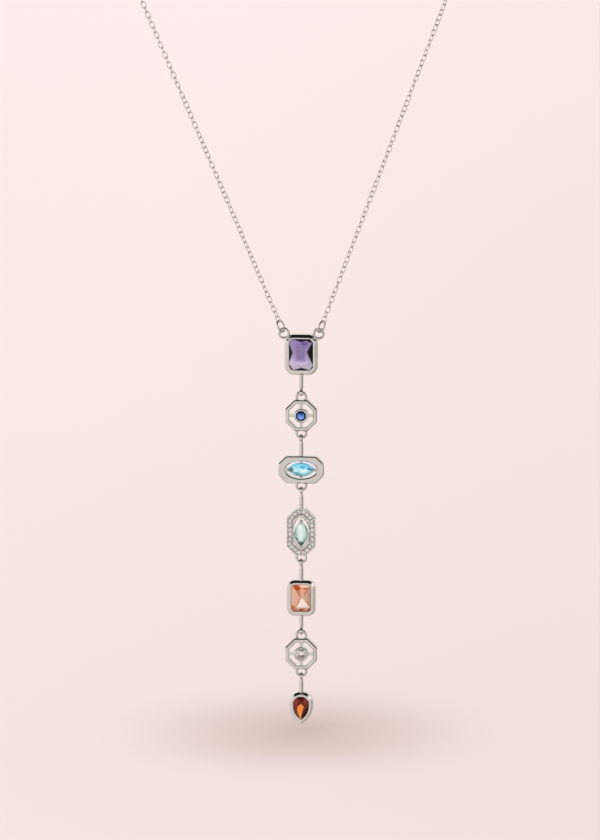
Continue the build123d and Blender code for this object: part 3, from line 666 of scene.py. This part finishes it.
def closed_path(name, y, corners):
    """A closed path through corners, each across and up from the plate's middle."""
    data = bpy.data.curves.new(name, "CURVE")
    data.dimensions = "3D"
    spline = data.splines.new("POLY")
    spline.points.add(len(corners) - 1)
    for point, (x, z) in zip(spline.points, corners):
        point.co = (DROP_X + x, y, PLATE_Z + z, 1.0)
    spline.use_cyclic_u = True
    path = bpy.data.objects.new(name, data)
    bpy.context.scene.collection.objects.link(path)
    return path


def row_corners():
    """The path through the row's stones, from its top middle."""
    half_w, half_h = ROW_WIDTH / 2, ROW_HEIGHT / 2
    right = [(0, half_h), (half_w - ROW_LEG, half_h), (half_w, half_h - ROW_LEG),
             (half_w, ROW_LEG - half_h), (half_w - ROW_LEG, -half_h), (0, -half_h)]
    return right + [(-x, z) for x, z in reversed(right[1:-1])]


def rim_corners(steps=12):
    """The pointed oval round the opening: two arcs that meet at the top and the bottom."""
    radius = (RIM_HEIGHT**2 + RIM_WIDTH**2) / (2 * RIM_WIDTH)
    full = atan2(RIM_HEIGHT, radius - RIM_WIDTH)
    turns = [full * (1 - 2 * k / steps) for k in range(steps)]
    right = [(radius * cos(a) - radius + RIM_WIDTH, radius * sin(a)) for a in turns]
    return right + [(-x, -z) for x, z in right]


# %% The beads' tree
def bead_tree():
    """Geometry nodes that set balls along a path, beside it or on both sides of it."""
    tree = bpy.data.node_groups.new("bead_row", "GeometryNodeTree")
    add_input(tree, "Path", "NodeSocketGeometry")
    add_input(tree, "Beads", "NodeSocketInt", ROW_STONES)
    add_input(tree, "Radius", "NodeSocketFloat", ROW_BEAD)
    add_input(tree, "Offset", "NodeSocketFloat", ROW_OFFSET)
    add_input(tree, "Both Sides", "NodeSocketBool", True)
    add_input(tree, "Metal", "NodeSocketMaterial")
    tree.interface.new_socket("Row", in_out="OUTPUT", socket_type="NodeSocketGeometry")
    given = put(tree, "NodeGroupInput").outputs
    steps = put(tree, "GeometryNodeCurveToPoints",
                {"Curve": given["Path"], "Count": given["Beads"]}, mode="COUNT").outputs
    sideways = put(tree, "ShaderNodeVectorMath", {
        0: steps["Tangent"], 1: (0.0, 1.0, 0.0)}, operation="CROSS_PRODUCT")
    ball = put(tree, "GeometryNodeMeshIcoSphere", {"Radius": given["Radius"], "Subdivisions": 2})
    sides = []
    for side in (1.0, -1.0):
        offset = put(tree, "ShaderNodeVectorMath", {
            0: sideways.outputs["Vector"],
            "Scale": maths(tree, "MULTIPLY", given["Offset"], side)}, operation="SCALE")
        moved = put(tree, "GeometryNodeSetPosition", {
            "Geometry": steps["Points"], "Offset": offset.outputs["Vector"]})
        sides.append(moved.outputs["Geometry"])
    second = put(tree, "GeometryNodeSwitch", {
        "Switch": given["Both Sides"], "True": sides[1]}, input_type="GEOMETRY")
    both = put(tree, "GeometryNodeJoinGeometry", {0: sides[0]})
    tree.links.new(second.outputs["Output"], both.inputs[0])
    placed = put(tree, "GeometryNodeInstanceOnPoints", {
        "Points": both.outputs["Geometry"], "Instance": ball.outputs["Mesh"]})
    end_tree(tree, placed.outputs["Instances"], given["Metal"], "Row")
    return tree


# %% Lay the beads
BEAD_TREE = bead_tree()
for name, y, corners, count, radius, offset, both in [
    ("row_beads", CHANNEL_Y, row_corners(), ROW_STONES, ROW_BEAD, ROW_OFFSET, True),
    ("edge_beads", RIM_Y, row_corners(), EDGE_BEADS, FINE_BEAD, EDGE_OFFSET, True),
    ("rim_beads", RIM_Y, rim_corners(), RIM_BEADS, FINE_BEAD, 0.0, False),
]:
    beads = grow(closed_path(name, y, corners), BEAD_TREE, {
        "Beads": count, "Radius": radius, "Offset": offset, "Both Sides": both,
        "Metal": METAL}, name)
    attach(beads, "long_plate")
    print(name, "faces:", len(beads.data.polygons))

# %% [markdown]
# ## Rounded claw tips
# A claw is a wire that is bent over the stone's edge and filed round. The solids stop at
# flat ends, so each gets a dome.

# %% Claw tips
CLAW_TOP = FRONT_Y - 0.88 * MM
CLAW_FLATNESS = 0.65


def domes(name, body, places):
    """Flattened balls in one mesh, each at (across, up, radius)."""
    shape = bmesh.new()
    flat = Matrix.Diagonal((1.0, CLAW_FLATNESS, 1.0, 1.0))
    for x, z, radius in places:
        squeeze = Matrix.Translation((x, CLAW_TOP, z)) @ flat
        bmesh.ops.create_uvsphere(shape, u_segments=20, v_segments=12, radius=radius,
                                  matrix=squeeze)
    for face in shape.faces:
        face.smooth = True
    mesh = bpy.data.meshes.new(name)
    shape.to_mesh(mesh)
    shape.free()
    mesh.materials.append(METAL)
    piece = bpy.data.objects.new(name, mesh)
    bpy.context.scene.collection.objects.link(piece)
    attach(piece, body)
    print(name, "domes:", len(places))


# Each tip is across, up and radius, in millimetres from its stone's middle.
TIPS_3 = [(0.0, 1.9, 0.3), (0.0, -1.9, 0.3), (-3.3, 0.0, 0.4), (3.3, 0.0, 0.4)]
TIPS_4 = [(0.0, 3.1, 0.46), (0.0, -3.1, 0.36), (-1.86, 0.0, 0.3), (1.86, 0.0, 0.3)]
LEVEL, UPRIGHT = middle("stone_3").z, middle("stone_4").z
domes("claw_tips_3", "oval_plate", [
    (DROP_X + x * MM, LEVEL + z * MM, radius * MM) for x, z, radius in TIPS_3])
domes("claw_tips_4", "long_plate", [
    (DROP_X + x * MM, UPRIGHT + z * MM, radius * MM) for x, z, radius in TIPS_4])

# %% [markdown]
# ## Floor and light
# The picture has one pale rosy surface under and behind the necklace, and a soft pool of
# shadow below the drop. The floor's colour carries a painted shadow for that pool, and painted
# light that makes the floor paler towards the back and towards the left, so they stay where
# they are whatever the lamps do. Three broad lamps light it and the stones: two from above,
# left and right, and a low one from the front. Metal shows what it mirrors, and no lamp gives
# that, so the world has its own room for mirrors: a bright side, two windows and a dark
# ceiling, which blackens the upper slopes of the metal.


# %% Floor
FLOOR_RADIUS, FLOOR_POINTS = 4.0, 96
# The first reach is for the painted shadow under the drop, the second for the painted side light.
PAINTED_SHADOW_REACH, SIDE_LIGHT_REACH = 58 * MM, 0.09
FLOOR_NEAR, FLOOR_FAR = -0.1, 1.0
# Painted shadow: the floor's colour at the middle of the pool under the drop.
PAINTED_SHADOW_TONE = (0.70, 0.56, 0.53, 1.0)
# Painted light: the floor's colour pales from the front to the back, and from right to left.
PAINTED_DEPTH_LIGHT = [
    (0.0, (0.855, 0.725, 0.712)), (0.4, (0.92, 0.80, 0.776)), (1.0, (0.985, 0.868, 0.856))]
PAINTED_SIDE_LIGHT = [(0.0, (1.0, 1.0, 1.0)), (1.0, (0.965, 0.945, 0.94))]


def floor_material():
    """A matt floor with painted light, paler with depth and to the left, and a painted shadow pool.
    """
    material, tree, out = new_material("rosy_floor")
    place = put(tree, "ShaderNodeTexCoord").outputs["Object"]
    under = put(tree, "ShaderNodeVectorMath", {0: place, 1: (DROP_X, FRONT_Y, FLOOR_Z)},
                operation="DISTANCE").outputs["Value"]
    near = remap(tree, under, 0.0, PAINTED_SHADOW_REACH, how="SMOOTHERSTEP")
    part = put(tree, "ShaderNodeSeparateXYZ", {"Vector": place}).outputs
    open_floor = ramp(tree, remap(tree, part["Y"], FLOOR_NEAR, FLOOR_FAR), PAINTED_DEPTH_LIGHT)
    # Painted shadow: the floor darkens softly towards the point under the drop.
    painted_shadow = blend(tree, near, PAINTED_SHADOW_TONE, open_floor)
    # Painted light: the floor is made paler on the left and darker on the right.
    painted_side_light = ramp(tree, remap(tree, part["X"], -SIDE_LIGHT_REACH, SIDE_LIGHT_REACH), PAINTED_SIDE_LIGHT)
    colour = blend(tree, 1.0, painted_shadow, painted_side_light, "MULTIPLY")
    shader = put(tree, "ShaderNodeBsdfPrincipled", {"Base Color": colour, "Roughness": 0.9})
    shader.inputs["Specular IOR Level"].default_value = 0.0
    tree.links.new(shader.outputs["BSDF"], out.inputs["Surface"])
    return material


floor_mesh = bpy.data.meshes.new("floor")
shape = bmesh.new()
bmesh.ops.create_circle(shape, cap_ends=True, radius=FLOOR_RADIUS, segments=FLOOR_POINTS,
                        matrix=Matrix.Translation((DROP_X, FRONT_Y, FLOOR_Z)))
shape.to_mesh(floor_mesh)
shape.free()
floor_mesh.materials.append(floor_material())
floor = bpy.data.objects.new("floor", floor_mesh)
bpy.context.scene.collection.objects.link(floor)
floor.visible_glossy = False
print("floor at z mm:", round(FLOOR_Z / MM, 1))


# %% The room that mirrors see
# Tones from the floor to the ceiling, from left to right, and from left to right at the back.
# A window is a direction, where its blur starts and ends, and a colour.
HEIGHT_TONES = [
    (0.0, (0.64, 0.55, 0.52)), (0.20, (0.74, 0.65, 0.61)), (0.36, (0.85, 0.79, 0.745)),
    (0.50, (0.88, 0.84, 0.80)), (0.62, (1.05, 1.02, 0.98)), (0.68, (0.80, 0.78, 0.76)),
    (0.74, (0.05, 0.05, 0.05)), (1.0, (0.01, 0.01, 0.01))]
SIDE_TONES = [
    (0.0, (1.0, 1.0, 1.0)), (0.49, (0.93, 0.93, 0.93)), (0.60, (0.62, 0.62, 0.62)),
    (1.0, (0.45, 0.45, 0.45))]
BACK_TONES = [
    (0.0, (0.93, 0.89, 0.875)), (0.5, (0.95, 0.93, 0.92)), (0.9, (0.80, 0.755, 0.75))]
WINDOWS = [
    ((-0.85, 0.37, 0.37), 0.12, 0.32, (0.95, 0.92, 0.90, 1.0)),
    ((0.76, 0.44, 0.48), 0.10, 0.36, (1.25, 1.20, 1.16, 1.0))]
CEILING_LEAN, BACK_SHARE = 0.15, 0.75


def window(tree, direction, middle_of_window, near, far):
    """1 where a direction is near the window's, falling softly to 0."""
    apart = put(tree, "ShaderNodeVectorMath", {0: direction, 1: middle_of_window},
                operation="DISTANCE").outputs["Value"]
    return remap(tree, apart, far, near, how="SMOOTHSTEP")


def mirrored_room(tree, direction):
    """The colour that a mirror shows for each direction."""
    part = put(tree, "ShaderNodeSeparateXYZ", {"Vector": direction}).outputs
    leaning = maths(tree, "SUBTRACT", part["Z"], maths(tree, "MULTIPLY", part["X"], CEILING_LEAN))
    height = ramp(tree, remap(tree, leaning, -1.0, 1.0), HEIGHT_TONES)
    across = remap(tree, part["X"], -1.0, 1.0)
    behind = remap(tree, part["Y"], -0.1, 0.5, 0.0, BACK_SHARE)
    sides = blend(tree, behind, ramp(tree, across, SIDE_TONES), ramp(tree, across, BACK_TONES))
    colour = blend(tree, 1.0, height, sides, "MULTIPLY")
    for place, near, far, glow in WINDOWS:
        colour = blend(tree, window(tree, direction, place, near, far), colour, glow)
    return colour


# %% The world
SOFT_TONE, SEEN_TONE = (0.96, 0.96, 0.96, 1.0), (0.95, 0.83, 0.80, 1.0)


def studio_world():
    """A world that looks different to the camera, to matt surfaces and to mirrors."""
    world = bpy.data.worlds.new("studio")
    world.use_nodes = True
    tree = world.node_tree
    tree.nodes.clear()
    direction = put(tree, "ShaderNodeTexCoord").outputs["Generated"]
    mirrored = put(tree, "ShaderNodeBackground", {"Color": mirrored_room(tree, direction)})
    soft = put(tree, "ShaderNodeBackground", {"Color": SOFT_TONE})
    seen = put(tree, "ShaderNodeBackground", {"Color": SEEN_TONE})
    ray = put(tree, "ShaderNodeLightPath").outputs
    shading = put(tree, "ShaderNodeMixShader", {
        0: ray["Is Diffuse Ray"], 1: mirrored.outputs[0], 2: soft.outputs[0]})
    mixed = put(tree, "ShaderNodeMixShader", {
        0: ray["Is Camera Ray"], 1: shading.outputs[0], 2: seen.outputs[0]})
    put(tree, "ShaderNodeOutputWorld", {"Surface": mixed.outputs[0]})
    bpy.context.scene.world = world
    print("world:", world.name, "windows:", len(WINDOWS))


studio_world()

# %% Lamps
LAMP_AIM = Vector((DROP_X, FRONT_Y, -0.17))


def soft_light(name, place, size, power):
    """A square lamp at a place in metres from the drop's middle, aimed at it."""
    data = bpy.data.lights.new(name, "AREA")
    data.shape = "SQUARE"
    data.size = size
    data.energy = power
    lamp = bpy.data.objects.new(name, data)
    lamp.location = LAMP_AIM + Vector(place)
    lamp.rotation_euler = (-Vector(place)).to_track_quat("-Z", "Y").to_euler()
    lamp.visible_camera = False
    lamp.visible_glossy = False
    bpy.context.scene.collection.objects.link(lamp)
    print(name, "lamp, watts:", power)


soft_light("key", (-0.9, -0.9, 1.1), 1.2, 2.6)
soft_light("fill", (0.9, -0.7, 1.2), 1.2, 1.2)
soft_light("front", (0.0, -1.6, 0.35), 1.4, 7.0)

# %% [markdown]
# ## The camera
# A near camera would make the stations at the ends of the drop look smaller than those in
# the middle, so we stand three metres away with a long lens. The camera is a few degrees to
# the right and looks down a little. The height that the picture spans at the drop sets the
# lens.

# %% Camera
FRAME_HEIGHT = 208.2 * MM
DISTANCE = 3.0
AZIMUTH, ELEVATION = radians(4.0), radians(12.0)
AIM = Vector((1.875, -77.0, -144.17)) * MM

lens = bpy.data.cameras.new("camera")
lens.sensor_fit = "VERTICAL"
lens.sensor_height = 24.0
lens.lens = lens.sensor_height * DISTANCE / FRAME_HEIGHT
lens.clip_end = 20.0
camera = bpy.data.objects.new("camera", lens)
towards = Vector((sin(AZIMUTH) * cos(ELEVATION), -cos(AZIMUTH) * cos(ELEVATION), sin(ELEVATION)))
camera.location = AIM + towards * DISTANCE
camera.rotation_euler = (-towards).to_track_quat("-Z", "Y").to_euler()
bpy.context.scene.collection.objects.link(camera)
bpy.context.scene.camera = camera
bpy.context.scene.view_settings.view_transform = "Standard"
print("lens:", round(lens.lens, 1), "mm")
